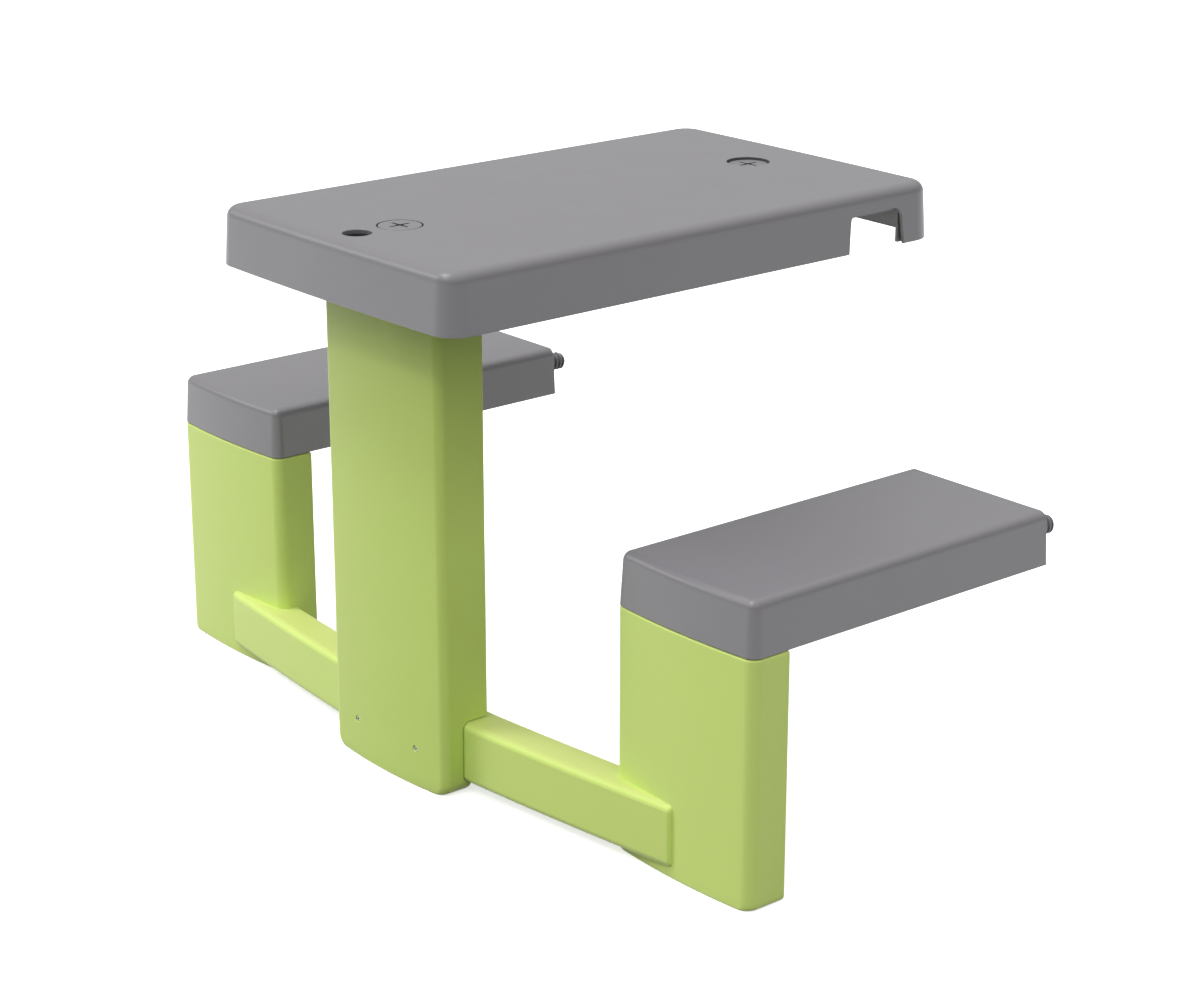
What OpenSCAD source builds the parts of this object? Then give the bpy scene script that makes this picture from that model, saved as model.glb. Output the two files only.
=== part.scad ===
// Child's picnic table module that hangs on a playhouse wall.
// X runs across the two benches, +Y points into the wall, Z is up.
// The wall's face is y = 0, the floor is z = 0 and the centre line is x = 0.

/* [Table top] */
// Height of the table top above the floor
table_h = 446.8; // [436:0.2:470]
// Width of the table top at its rim
table_w = 305.6; // [296:0.4:320]
// How far the table top's free end stands out past the centre leg
table_overhang = 45.4; // [43.8:0.2:60]
// Length of the table top past the wall's face
table_past = 99.2; // [96:0.2:110]
// Depth of the skirt below the top
skirt_depth = 47.3; // [42:0.1:50]
// How far each skirt leans out at its rim
skirt_flare = 2.3; // [1.5:0.1:3]
// Plan corner radius at the free end
free_corner_r = 20; // [18:1:26]
// Plan corner radius at the wall end
wall_corner_r = 22; // [16:1:24]
// Radius of the rounded top edge
table_edge_r = 9.5; // [8:0.5:11]
// Bow of the free end in plan
table_bow = 2.4; // [1:0.2:5]
// Bow of the wall end in plan
wall_end_bow = 1.6; // [0.4:0.2:3]
// Wall thickness of the grey mouldings
skin = 3; // [2.6:0.1:3.2]

/* [Parasol hole and screw seats] */
// Radius of the parasol hole
parasol_r = 11.4; // [10:0.2:11.6]
// Distance of the parasol hole in front of the centre leg
parasol_lead = 13.4; // [13.2:0.2:16.8]
// Height of the sleeve below the parasol hole
parasol_sleeve_h = 40; // [30:1:42]
// Radius of a screw disc
disc_r = 17.2; // [16:0.2:18]
// Thickness of a screw disc
disc_t = 5; // [4.4:0.2:5.4]
// Gap round a screw disc
disc_gap = 0.8; // [0.4:0.1:0.9]
// Distance of the leg screw behind the centre leg's front
leg_screw_back = 26.4; // [23:0.2:27]
// Extra depth of the recess over the ledge
ledge_recess = 2; // [1:0.5:3]
// Distance of the ledge screw behind the wall's face
ledge_screw_y = 28.5; // [27:0.5:30]

/* [Ledge slot] */
// Free side of the slot at the rim
slot_near_y = 1.2; // [0.6:0.2:2]
// Wall side of the slot at the rim
slot_far_y = 60.5; // [58:0.5:64]
// Free side of the slot's roof, before its corner
slot_roof_near_y = 6; // [5:0.5:8]
// Wall side of the slot's roof, before its corner
slot_roof_far_y = 48.5; // [46:0.5:50]
// Height of the slot's roof below the table top
slot_roof_drop = 16.8; // [15.6:0.2:18]
// Depth of the bottom of the cross webs below the table top
web_drop = 32.5; // [28:0.5:36]
// How far the wall side web stands in front of the notch
web_lead = 2.8; // [2.2:0.2:4]

/* [Centre leg] */
// Width of the centre leg
centre_leg_w = 148.4; // [140:0.4:152]
// Depth of the centre leg
centre_leg_d = 47.1; // [46:0.1:49]
// Front face of the centre leg before the wall's face
centre_leg_front = 359.2; // [358.4:0.2:360]
// Bow of the centre leg's front in plan
centre_leg_bow = 3.4; // [2:0.2:4]
// Radius of the centre leg's upright front edges
leg_edge_r = 7.5; // [6:0.5:9]
// Radius of the centre leg's bottom corners
foot_corner_r = 10; // [8:0.5:13]
// How far the centre leg's sole reaches under the crossbar
sole_reach = 6.2; // [4:0.2:9]
// Wall thickness of the green mouldings
leg_wall = 3.4; // [3:0.1:3.8]

/* [Crossbar] */
// Underside of the crossbar above the floor
bar_low = 8.8; // [7.8:0.2:11]
// Height of the crossbar
bar_h = 51; // [46:0.5:54]
// Depth of the crossbar
bar_d = 32; // [30:0.2:33]
// How far the crossbar stands out behind the centre leg
bar_proud = 8; // [7:0.2:10]
// How far the middle of each wing bellies forward
bar_belly = 1.8; // [0.6:0.2:2.4]
// How far the crossbar's ends stand in front of the bench legs' fronts
bar_lap = 3.2; // [2:0.2:3.8]
// Distance of the crossbar's ends from the centre line
bar_end_x = 293; // [285:1:300]
// Radius of the crossbar's front edges
bar_front_r = 6; // [4:0.5:7]
// Radius of the crossbar's rear edges
bar_rear_r = 3; // [2.5:0.5:5]
// Distance of the small screws from the centre line
small_screw_x = 39.3; // [36:0.3:46]
// Height of the small screws above the floor
small_screw_z = 32.8; // [30:0.2:38]

/* [Benches] */
// Height of the seats above the floor
seat_h = 239.8; // [232:0.2:250]
// Width of a seat and of the leg below it
seat_w = 149.8; // [144:0.2:149.8]
// Distance of a seat's middle from the centre line
seat_mid_x = 297.7; // [295:0.1:302]
// Length of a seat from the wall's face to its free end
seat_reach = 310; // [309.4:0.2:310.6]
// Depth of a seat's skirt
seat_depth = 42.2; // [39:0.2:44]
// How far each seat skirt leans out at its rim
seat_flare = 2.1; // [1.5:0.1:2.5]
// Plan corner radius at a seat's free end
seat_corner_r = 10.2; // [10.2:0.1:12]
// Radius of a seat's rounded top edge
seat_edge_r = 7.6; // [6.4:0.2:7.6]
// Bow of a seat's free end in plan
seat_bow = 3; // [2:0.2:4.6]
// Depth of a bench leg
bench_leg_d = 39.4; // [38.4:0.2:43]
// Radius of a bench leg's bottom corners
bench_foot_r = 5; // [4:0.5:8]

/* [Wall screws] */
// Sideways distance of a wall screw from the seat's middle
wall_screw_shift = 55; // [50:0.5:56]
// Depth of the wall screws below the seats' tops
wall_screw_drop = 18.2; // [17.8:0.2:21.2]
// Radius of a wall screw's head
wall_head_r = 12.6; // [11:0.2:13]
// Radius over the thread's crests
crest_r = 8; // [7.6:0.1:8.2]
// Radius at the thread's roots
root_r = 5.6; // [5.4:0.1:6.4]
// Distance from one turn of the thread to the next
pitch = 4.4; // [4.2:0.1:5]
// Length of the screws past the wall they hold
screw_out = 24; // [23:0.5:28]

/* [Hidden] */

// Fits and cuts
overrun = 1;
slice = 0.5;
fit_gap = 0.4;
thread_gap = 0.35;
hole_gap = 0.6;
round_facets = 32;
rear_edge_r = 1;
hole_facets = 72;
edge_steps = 4;
half = 1 / 2;
double = 2;

// Levels worked out from the sizes above
table_reach = centre_leg_front + table_overhang;
parasol_y = centre_leg_front + parasol_lead;
bar_end_front = seat_reach + bar_lap;
rim_z = table_h - skirt_depth;
seat_rim_z = seat_h - seat_depth;
ceiling_z = table_h - skin;
cup_z = table_h - disc_t - skin;
ledge_cup_z = cup_z - ledge_recess;
leg_top_z = cup_z;
leg_mid_y = centre_leg_d * half - centre_leg_front;
leg_screw_y = leg_screw_back - centre_leg_front;
leg_rear_y = centre_leg_d - centre_leg_front;
slot_roof_z = table_h - slot_roof_drop;
web_z = table_h - web_drop;
web_y = slot_far_y - web_lead;
web_t = skin;
near_web_y = -slot_near_y - web_t;
rib_t = 2.4;
rib_h = 8;
socket_rib_h = 28;
collar_t = 2.6;
collar_h = 22;
cup_r = disc_r + disc_gap + skin;
sleeve_r = parasol_r + skin * half;
shank_hole_r = crest_r + hole_gap;

// Bench frame places
wall_screw_z = seat_h - wall_screw_drop;
seat_top_r = min(seat_edge_r, seat_corner_r - seat_flare - slice);
bench_front_y = -seat_reach;
bench_rear_y = bench_front_y + bench_leg_d;
spigot_inset = skin + seat_flare + fit_gap;
spigot_rear_y = bench_rear_y - spigot_inset;
spigot_top_z = seat_h - seat_top_r;
bar_rear_y = leg_rear_y + bar_proud;
bar_front_y = bar_rear_y - bar_d;
bar_top_z = bar_low + bar_h;
notch_x = centre_leg_w * half;
wing_l = bar_end_x - notch_x;

// Small screws
small_head_r = 2.2;
small_head_l = 3;
small_hole_r = 2.5;
small_sink = 2;
small_shank_r = 1.5;
small_shank_gap = 0.15;
small_reach = 7;

// Cross recess of the big screws
recess_l = 17;
recess_w = 1.8;
recess_deep = 2.2;

// Thread proportions
tip_r = root_r - slice * half;
tip_l = 3;
crest_share = 0.2;
flank_share = 0.25;

// Shares of the slot's corners
corner_in_share = 0.3;
corner_side_share = 0.15;
corner_low_share = 0.8;

// Shares of the spans at which ribs stand
long_rib_shares = [-0.66, 0, 0.66];
cross_rib_shares = [0.3, 0.65];
ledge_rib_shares = [-0.66, -0.3, 0.3, 0.66];
seat_rib_shares = [0.33, 0.66];

// Shares of a half width at which the bow is sampled
bow_shares = [-1, -0.6, -0.2, 0.2, 0.6, 1];

// Solid of revolution with a leaning side and a rounded top edge
module post(r, flare, edge, low, high) {
  rotate_extrude($fn = round_facets)
    polygon(concat(
      [[0, low], [r, low]],
      [for (i = [0 : edge_steps])
        [r - flare - edge + edge * cos(90 * i / edge_steps),
         high - edge + edge * sin(90 * i / edge_steps)]],
      [[0, high]]));
}

// Outline of a seat seen from its end
function end_profile(w, flare, edge, low, high) = concat(
  [[-w, low], [w, low]],
  [for (i = [0 : edge_steps])
    [w - flare - edge + edge * cos(90 * i / edge_steps),
     high - edge + edge * sin(90 * i / edge_steps)]],
  [for (i = [edge_steps : -1 : 0])
    [-w + flare + edge - edge * cos(90 * i / edge_steps),
     high - edge + edge * sin(90 * i / edge_steps)]]);

// Table top block, set in from its outside by a given amount
module table_block(inset, low) {
  mid_x = table_w * half - free_corner_r;
  hull() {
    for (share = bow_shares)
      translate([mid_x * share, -table_reach + free_corner_r + table_bow * share * share, 0])
        post(free_corner_r - inset, skirt_flare, table_edge_r - inset, low, table_h - inset);
    for (share = bow_shares)
      translate([(table_w * half - wall_corner_r) * share,
                 table_past - wall_corner_r - wall_end_bow * share * share, 0])
        post(wall_corner_r - inset, skirt_flare, table_edge_r - inset, low, table_h - inset);
  }
}

// Disc cup under the table top
module cup(y, floor_z) {
  translate([0, y, floor_z])
    cylinder(r = cup_r, h = ceiling_z + skin * half - floor_z, $fn = hole_facets);
}

// Recess and shank hole of a disc cup
module cup_cut(y, floor_z) {
  translate([0, y, floor_z + skin])
    cylinder(r = disc_r + disc_gap, h = table_h - floor_z, $fn = hole_facets);
  translate([0, y, floor_z - overrun])
    cylinder(r = shank_hole_r, h = skin + double * overrun, $fn = hole_facets);
}

// Outline of the ledge slot seen along the bench
function slot_outline() = let (
  near_corner = slot_roof_near_y - slot_near_y,
  far_corner = web_y - slot_roof_far_y) [
  [-slot_near_y, rim_z - overrun],
  [slot_near_y, slot_roof_z - near_corner],
  [slot_near_y + near_corner * corner_in_share, slot_roof_z - near_corner * corner_in_share],
  [slot_roof_near_y, slot_roof_z],
  [slot_roof_far_y, slot_roof_z],
  [web_y - far_corner * corner_in_share, slot_roof_z - far_corner * corner_in_share],
  [web_y - far_corner * corner_side_share, slot_roof_z - far_corner * corner_low_share],
  [slot_far_y, rim_z - overrun]];

// Bar along X, used for cuts and ribs
module along_x(outline, from_x, to_x) {
  translate([from_x, 0, 0])
    rotate([90, 0, 90])
      linear_extrude(to_x - from_x) polygon(outline);
}

// Box between two corners
module box(a, b) {
  translate(a)
    cube([b[0] - a[0], b[1] - a[1], b[2] - a[2]]);
}

// Ribs, webs, collar, cups and sleeve under the table top
module table_underside() {
  collar_x = centre_leg_w * half + fit_gap;
  collar_front = -centre_leg_front - fit_gap;
  collar_rear = leg_rear_y + fit_gap;
  rib_rear_y = near_web_y + web_t * half;
  top_z = ceiling_z + skin * half;
  intersection() {
    table_block(skin * half, rim_z);
    union() {
      // Collar round the centre leg's head
      difference() {
        box([-collar_x - collar_t, collar_front - collar_t, ceiling_z - collar_h],
            [collar_x + collar_t, collar_rear + collar_t, top_z]);
        box([-collar_x, collar_front, ceiling_z - collar_h - overrun], [collar_x, collar_rear, ceiling_z]);
      }
      // Lengthwise ribs between the collar and the slot
      for (share = long_rib_shares)
        box([table_w * half * share - rib_t * half, collar_rear + collar_t * half, ceiling_z - rib_h],
            [table_w * half * share + rib_t * half, rib_rear_y, top_z]);
      // Crosswise ribs
      for (share = cross_rib_shares)
        box([-table_w * half, collar_rear + (rib_rear_y - collar_rear) * share - rib_t * half, ceiling_z - rib_h],
            [table_w * half, collar_rear + (rib_rear_y - collar_rear) * share + rib_t * half, top_z]);
      // Webs on both sides of the slot
      box([-table_w * half, near_web_y, web_z], [table_w * half, near_web_y + web_t, top_z]);
      box([-table_w * half, web_y, web_z], [table_w * half, web_y + web_t, top_z]);
      // Bearing ribs over the ledge
      for (share = ledge_rib_shares)
        box([table_w * half * share - rib_t * half, near_web_y + web_t * half, slot_roof_z],
            [table_w * half * share + rib_t * half, web_y + web_t * half, top_z]);
      // Liners inside the skirts on the wall side
      for (side = [-1, 1])
        translate([side * (table_w * half - skirt_flare - skin * double), 0, 0])
          box([side > 0 ? 0 : -skin * double, web_y, rim_z],
              [side > 0 ? skin * double : 0, table_past - skin * double, top_z]);
    }
  }
  cup(leg_screw_y, cup_z);
  cup(ledge_screw_y, ledge_cup_z);
  translate([0, -parasol_y, table_h - parasol_sleeve_h])
    cylinder(r = sleeve_r, h = parasol_sleeve_h - skin * half, $fn = hole_facets);
}

// Open-bottomed shell of the table top
module table_top() {
  color([0.42, 0.42, 0.43])
    difference() {
      union() {
        difference() {
          table_block(0, rim_z);
          table_block(skin, rim_z - overrun);
          along_x(slot_outline(), -table_w, table_w);
        }
        table_underside();
      }
      translate([0, -parasol_y, table_h - parasol_sleeve_h - overrun])
        cylinder(r = parasol_r, h = parasol_sleeve_h + double * overrun, $fn = hole_facets);
      cup_cut(leg_screw_y, cup_z);
      cup_cut(ledge_screw_y, ledge_cup_z);
    }
}

// Revolved outline of the coarse thread, from its start down to its tip
function thread_points(length, grow) = let (turns = floor((length - tip_l) / pitch)) concat(
  [[0, 0], [root_r + grow, 0]],
  [for (i = [0 : turns - 1]) for (k = [0 : 3])
    [k == 0 || k == 3 ? root_r + grow : crest_r + grow,
     -(i + (k == 0 ? half - crest_share * half - flank_share : k == 1 ? half - crest_share * half
       : k == 2 ? half + crest_share * half : half + crest_share * half + flank_share)) * pitch]],
  [[root_r + grow, -turns * pitch], [tip_r + grow, -turns * pitch - slice],
   [tip_r + grow, -length], [0, -length]]);

// Coarse thread hanging down from z = 0
module thread(length, grow) {
  rotate_extrude($fn = hole_facets)
    polygon(thread_points(length, grow));
}

// Big screw with a flat disc head and a cross recess, head upwards, thread from z = 0 down
module big_screw(head_r, head_t) {
  difference() {
    union() {
      thread(screw_out + skin, 0);
      cylinder(r = head_r, h = head_t, $fn = hole_facets);
    }
    for (turn = [0, 90])
      rotate([0, 0, turn])
        box([-recess_l * half, -recess_w * half, head_t - recess_deep],
            [recess_l * half, recess_w * half, head_t + overrun]);
  }
}

// Screw through the table top into the centre leg
module leg_screw() {
  color([0.4, 0.4, 0.41])
    translate([0, leg_screw_y, cup_z + skin])
      big_screw(disc_r, disc_t);
}

// Screw through the table top into the wall's ledge
module ledge_screw() {
  color([0.4, 0.4, 0.41])
    translate([0, ledge_screw_y, ledge_cup_z + skin])
      big_screw(disc_r, disc_t);
}

// Screw through a seat's end wall into the house wall
module wall_screw(x) {
  color([0.4, 0.4, 0.41])
    translate([x + wall_screw_shift, -skin, wall_screw_z])
      rotate([90, 0, 0])
        big_screw(wall_head_r, disc_t);
}

module wall_screw_left() {
  wall_screw(-seat_mid_x);
}

module wall_screw_right() {
  wall_screw(seat_mid_x);
}

// Seat block, set in from its outside by a given amount
module seat_block(inset, low) {
  mid_x = seat_w * half - seat_corner_r;
  hull() {
    for (share = bow_shares)
      translate([mid_x * share, -seat_reach + seat_corner_r + seat_bow * share * share, 0])
        post(seat_corner_r - inset, seat_flare, seat_top_r - inset, low, seat_h - inset);
    translate([0, -inset, 0])
      rotate([90, 0, 0])
        linear_extrude(slice)
          polygon(end_profile(seat_w * half - inset, seat_flare, seat_top_r - inset, low, seat_h - inset));
  }
}

// Open-bottomed shell of a seat
module seat(x) {
  socket_y = spigot_rear_y + fit_gap;
  rib_end_y = -skin * double - disc_t * double;
  color([0.42, 0.42, 0.43])
    translate([x, 0, 0])
      difference() {
        union() {
          difference() {
            seat_block(0, seat_rim_z);
            seat_block(skin, seat_rim_z - overrun);
          }
          // Rib behind the leg's spigot, crosswise ribs and one lengthwise rib
          intersection() {
            seat_block(skin * half, seat_rim_z);
            union() {
              box([-seat_w * half, socket_y, seat_h - skin - socket_rib_h],
                  [seat_w * half, socket_y + rib_t, seat_h - skin * half]);
              for (share = seat_rib_shares)
                box([-seat_w * half, socket_y * share - rib_t * half, seat_h - skin - rib_h],
                    [seat_w * half, socket_y * share + rib_t * half, seat_h - skin * half]);
              box([-rib_t * half, socket_y, seat_h - skin - rib_h],
                  [rib_t * half, rib_end_y, seat_h - skin * half]);
            }
          }
        }
        translate([wall_screw_shift, overrun, wall_screw_z])
          rotate([90, 0, 0])
            cylinder(r = shank_hole_r, h = skin + double * overrun, $fn = hole_facets);
      }
}

module seat_left() {
  seat(-seat_mid_x);
}

module seat_right() {
  seat(seat_mid_x);
}

// Rounded upright block with corners at a given radius
module rounded_block(w, front, rear, r, low, high) {
  translate([0, 0, low])
    linear_extrude(high - low) {
      for (sx = [-1, 1])
        for (y = [front + r, rear - r])
          translate([sx * (w * half - r), y])
            circle(r = r, $fn = hole_facets);
      translate([-w * half + r, front])
        square([w - double * r, rear - front]);
      translate([-w * half, front + r])
        square([w, rear - front - double * r]);
    }
}

// Plan outline of the centre leg with a bowed front, set in by a given amount
function leg_plan(inset) = let (
  r = leg_edge_r - inset, c = rear_edge_r * half,
  w = centre_leg_w * half - inset, f = -centre_leg_front + inset, b = leg_rear_y - inset) concat(
  [[-w + c, b], [-w, b - c]],
  [for (i = [0 : edge_steps * double])
    let (a = 90 * i / (edge_steps * double))
      [-w + r - r * cos(a), f + centre_leg_bow + r - r * sin(a)]],
  [for (share = [-0.75, -0.5, -0.25, 0, 0.25, 0.5, 0.75])
    [(w - r) * share, f + centre_leg_bow * share * share]],
  [for (i = [edge_steps * double : -1 : 0])
    let (a = 90 * i / (edge_steps * double))
      [w - r + r * cos(a), f + centre_leg_bow + r - r * sin(a)]],
  [[w, b - c], [w - c, b]]);

// Front outline of a leg with rounded bottom corners, as deep as it is asked
module front_mask(w, r, front, rear, high) {
  translate([0, rear + overrun, 0])
    rotate([90, 0, 0])
      linear_extrude(rear - front + double * overrun) {
        for (sx = [-1, 1])
          translate([sx * (w * half - r), r])
            circle(r = r, $fn = hole_facets);
        translate([-w * half + r, 0])
          square([w - double * r, r]);
        translate([-w * half, r])
          square([w, high - r]);
      }
}

// Section outline of the crossbar, front edges and rear edges rounded
module bar_core(from_x, to_x, grow) {
  translate([from_x, 0, 0])
    rotate([90, 0, 90])
      linear_extrude(to_x - from_x) {
        for (z = [bar_low - grow + bar_front_r, bar_top_z + grow - bar_front_r])
          translate([bar_front_y - grow + bar_front_r, z])
            circle(r = bar_front_r, $fn = hole_facets);
        for (z = [bar_low - grow + bar_rear_r, bar_top_z + grow - bar_rear_r])
          translate([bar_rear_y - bar_rear_r, z])
            circle(r = bar_rear_r, $fn = hole_facets);
        translate([bar_front_y - grow + bar_front_r, bar_low - grow])
          square([bar_d + grow - bar_front_r - bar_rear_r, bar_h + double * grow]);
        translate([bar_front_y - grow, bar_low - grow + bar_front_r])
          square([bar_d * half, bar_h + double * grow - double * bar_front_r]);
        translate([bar_rear_y - bar_d * half, bar_low - grow + bar_rear_r])
          square([bar_d * half, bar_h + double * grow - double * bar_rear_r]);
      }
}

// How far back the crossbar's wing lies at a share of its length
function wing_shift(share) = (-bar_end_front - bar_front_y) * share - bar_belly * sin(180 * share);

// One wing of the crossbar, from the centre leg to the bench leg
module bar_wing(side) {
  for (from = [0, half])
    hull()
      for (stop = [from, from + half])
        translate([side * (notch_x + wing_l * stop) - (side > 0 ? slice * stop : slice - slice * stop),
                   wing_shift(stop), 0])
          rotate([90, 0, 90]) {
            for (z = [bar_low + bar_front_r, bar_top_z - bar_front_r])
              translate([bar_front_y + bar_front_r, z, 0])
                cylinder(r = bar_front_r, h = slice, $fn = round_facets);
            for (z = [bar_low + bar_rear_r, bar_top_z - bar_rear_r])
              translate([bar_rear_y - bar_rear_r, z, 0])
                cylinder(r = bar_rear_r, h = slice, $fn = round_facets);
          }
}

// Hollow of one wing of the crossbar
module bar_wing_hollow(side) {
  stops = [0, half, 1];
  translate([0, 0, bar_low + leg_wall])
    linear_extrude(bar_h - double * leg_wall)
      polygon(concat(
        [for (stop = stops)
          [side * (notch_x - overrun + (wing_l + overrun - leg_wall) * stop),
           bar_front_y + leg_wall + wing_shift(stop)]],
        [for (stop = [1, half, 0])
          [side * (notch_x - overrun + (wing_l + overrun - leg_wall) * stop),
           bar_rear_y - leg_wall + wing_shift(stop)]]));
}

// Plan block of a bench leg with a bowed front
module bench_leg_block(high) {
  mid_x = seat_w * half - seat_corner_r;
  hull() {
    for (share = bow_shares)
      translate([mid_x * share, bench_front_y + seat_corner_r + seat_bow * share * share, 0])
        cylinder(r = seat_corner_r, h = high, $fn = round_facets);
    for (side = [-1, 1])
      translate([(seat_w * half - rear_edge_r) * side, bench_rear_y - rear_edge_r, 0])
        cylinder(r = rear_edge_r, h = high, $fn = round_facets);
  }
}

// Bench leg with its spigot for the seat, hollow and open at the top
module bench_leg(x) {
  translate([x, 0, 0])
    difference() {
      union() {
        intersection() {
          bench_leg_block(seat_rim_z);
          front_mask(seat_w + slice, bench_foot_r, bench_front_y - overrun, bench_rear_y + overrun, seat_h);
        }
        rounded_block(seat_w - double * spigot_inset, bench_front_y + seat_bow + spigot_inset, spigot_rear_y,
                      leg_edge_r * half, seat_rim_z - leg_wall, spigot_top_z);
      }
      rounded_block(seat_w - double * spigot_inset - double * leg_wall,
                    bench_front_y + seat_bow + spigot_inset + leg_wall, spigot_rear_y - leg_wall,
                    leg_edge_r * half, seat_rim_z - leg_wall * double, seat_h);
      rounded_block(seat_w - double * leg_wall, bench_front_y + seat_bow + leg_wall, bench_rear_y - leg_wall,
                    leg_edge_r * half, leg_wall, seat_rim_z - leg_wall);
    }
}

// U-shaped moulding of the crossbar and both bench legs
module bench_frame() {
  color([0.62, 0.72, 0.38])
    difference() {
      union() {
        bar_core(-notch_x, notch_x, 0);
        bar_wing(-1);
        bar_wing(1);
        bench_leg(-seat_mid_x);
        bench_leg(seat_mid_x);
      }
      box([-notch_x, bar_front_y + leg_wall, bar_low + leg_wall],
          [notch_x, bar_rear_y - leg_wall, bar_top_z - leg_wall]);
      bar_wing_hollow(-1);
      bar_wing_hollow(1);
      for (side = [-1, 1])
        translate([side * small_screw_x, bar_front_y - overrun, small_screw_z])
          rotate([-90, 0, 0])
            cylinder(r = small_shank_r + small_shank_gap, h = small_reach + double * overrun, $fn = hole_facets);
    }
}

// Hollow centre leg with a rear notch for the crossbar
module centre_leg() {
  front = -centre_leg_front;
  wall = leg_wall;
  notch_top = bar_top_z + fit_gap;
  socket_r = crest_r + thread_gap + leg_wall;
  socket_l = screw_out + skin;
  color([0.58, 0.69, 0.36])
    difference() {
      union() {
        difference() {
          intersection() {
            linear_extrude(leg_top_z) polygon(leg_plan(0));
            front_mask(centre_leg_w, foot_corner_r, front, leg_rear_y, table_h);
          }
          // Hollow above the notch, with a roof
          translate([0, 0, notch_top + wall])
            linear_extrude(leg_top_z - notch_top - double * wall) polygon(leg_plan(wall));
          // Openings in the roof on both sides of the screw socket
          for (side = [-1, 1])
            rounded_block_at(side * centre_leg_w * half * half, centre_leg_w * half * half,
                             leg_mid_y, centre_leg_d * half, leg_edge_r * half,
                             leg_top_z - wall - overrun, leg_top_z + overrun);
        }
        translate([0, leg_screw_y, leg_top_z - socket_l])
          cylinder(r = socket_r, h = socket_l - wall * half, $fn = hole_facets);
      }
      // Notch for the crossbar, open to the rear, and the free space behind the short sole
      bar_core(-centre_leg_w, centre_leg_w, fit_gap);
      box([-centre_leg_w, bar_rear_y - bar_d * half, bar_low - fit_gap],
          [centre_leg_w, leg_rear_y + overrun, bar_top_z + fit_gap]);
      box([-centre_leg_w, bar_front_y + sole_reach, -overrun],
          [centre_leg_w, leg_rear_y + overrun, bar_low + bar_h * half]);
      // Threaded socket
      translate([0, leg_screw_y, leg_top_z + skin])
        thread(screw_out + skin + double * overrun, thread_gap);
      translate([0, leg_screw_y, leg_top_z - socket_l - overrun])
        cylinder(r = root_r + thread_gap, h = double * overrun + tip_l, $fn = hole_facets);
      // Holes for the small screws
      for (side = [-1, 1])
        translate([side * small_screw_x, front - overrun, small_screw_z])
          rotate([-90, 0, 0]) {
            cylinder(r = small_hole_r, h = small_sink + small_head_l + overrun, $fn = hole_facets);
            cylinder(r = small_shank_r + small_shank_gap, h = centre_leg_d * half + double * overrun,
                     $fn = hole_facets);
          }
    }
}

// Rounded upright hole or block away from the centre line
module rounded_block_at(x, w, y, d, r, low, high) {
  translate([x, 0, 0])
    rounded_block(w, y - d * half, y + d * half, r, low, high);
}

// Two small screws from the centre leg into the crossbar
module crossbar_screws() {
  color([0.55, 0.55, 0.56])
    for (side = [-1, 1])
      translate([side * small_screw_x, -centre_leg_front + small_sink, small_screw_z])
        rotate([-90, 0, 0])
          difference() {
            union() {
              cylinder(r = small_head_r, h = small_head_l, $fn = hole_facets);
              cylinder(r = small_shank_r, h = centre_leg_front - small_sink + bar_front_y + small_reach,
                       $fn = hole_facets);
            }
            translate([0, 0, -overrun])
              cylinder(r = small_head_r * half, h = overrun + small_head_l * half, $fn = 6);
          }
}

table_top();
centre_leg();
bench_frame();
seat_left();
seat_right();
leg_screw();
ledge_screw();
wall_screw_left();
wall_screw_right();
crossbar_screws();
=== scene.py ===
"""Child's picnic table module that hangs on a playhouse wall, dressed for its picture.

Lengths in the shape functions are millimetres. X runs across the two benches, +Y points into the
wall, Z is up, and the wall's face is y = 0.
"""
import math

import bpy
from mathutils import Matrix


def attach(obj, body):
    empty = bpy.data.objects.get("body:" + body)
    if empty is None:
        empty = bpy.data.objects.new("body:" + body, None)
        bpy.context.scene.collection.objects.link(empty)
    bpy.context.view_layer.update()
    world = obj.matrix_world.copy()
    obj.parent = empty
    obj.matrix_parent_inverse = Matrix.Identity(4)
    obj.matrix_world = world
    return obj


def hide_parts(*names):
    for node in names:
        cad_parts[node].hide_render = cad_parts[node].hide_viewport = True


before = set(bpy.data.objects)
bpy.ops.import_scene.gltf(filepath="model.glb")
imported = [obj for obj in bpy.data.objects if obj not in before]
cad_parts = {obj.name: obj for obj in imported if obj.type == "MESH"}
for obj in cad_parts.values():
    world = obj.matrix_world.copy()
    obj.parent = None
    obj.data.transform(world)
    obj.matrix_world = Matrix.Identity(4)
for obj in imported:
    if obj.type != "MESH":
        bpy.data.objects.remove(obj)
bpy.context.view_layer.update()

MM = 0.001

# Table top
TABLE_H, TABLE_W, TABLE_REACH, TABLE_PAST = 446.8, 305.6, 404.6, 99.2
SKIRT, SKIRT_FLARE, TABLE_EDGE = 47.3, 2.3, 9.5
FREE_CORNER, WALL_CORNER, TABLE_BOW, WALL_END_BOW = 20.0, 22.0, 2.4, 1.6
SKIN = 3.0
RIM_Z = TABLE_H - SKIRT
CEILING_Z = TABLE_H - SKIN
PARASOL_Y, PARASOL_R, SLEEVE_H = -372.6, 11.4, 40.0
DISC_R, DISC_T, DISC_GAP = 17.2, 5.0, 0.8
LEG_SCREW_Y, LEDGE_SCREW_Y, LEDGE_RECESS = -332.8, 28.5, 2.0
SLOT_ROOF_Z, WEB_Z, WEB_Y = 430.0, 414.3, 57.7

# Centre leg and bench frame
LEG_W, LEG_FRONT, LEG_REAR, LEG_BOW, LEG_EDGE, LEG_FOOT = 148.4, -359.2, -312.1, 3.4, 7.5, 10.0
BAR_LOW, BAR_H, BAR_FRONT, BAR_REAR = 8.8, 51.0, -336.1, -304.1
BAR_END_X, BAR_SWEEP, BAR_LEAD, BAR_TRAIL = 293.0, 22.9, 6.0, 3.0
SCREW_X, SCREW_Z = 39.3, 32.8

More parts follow.
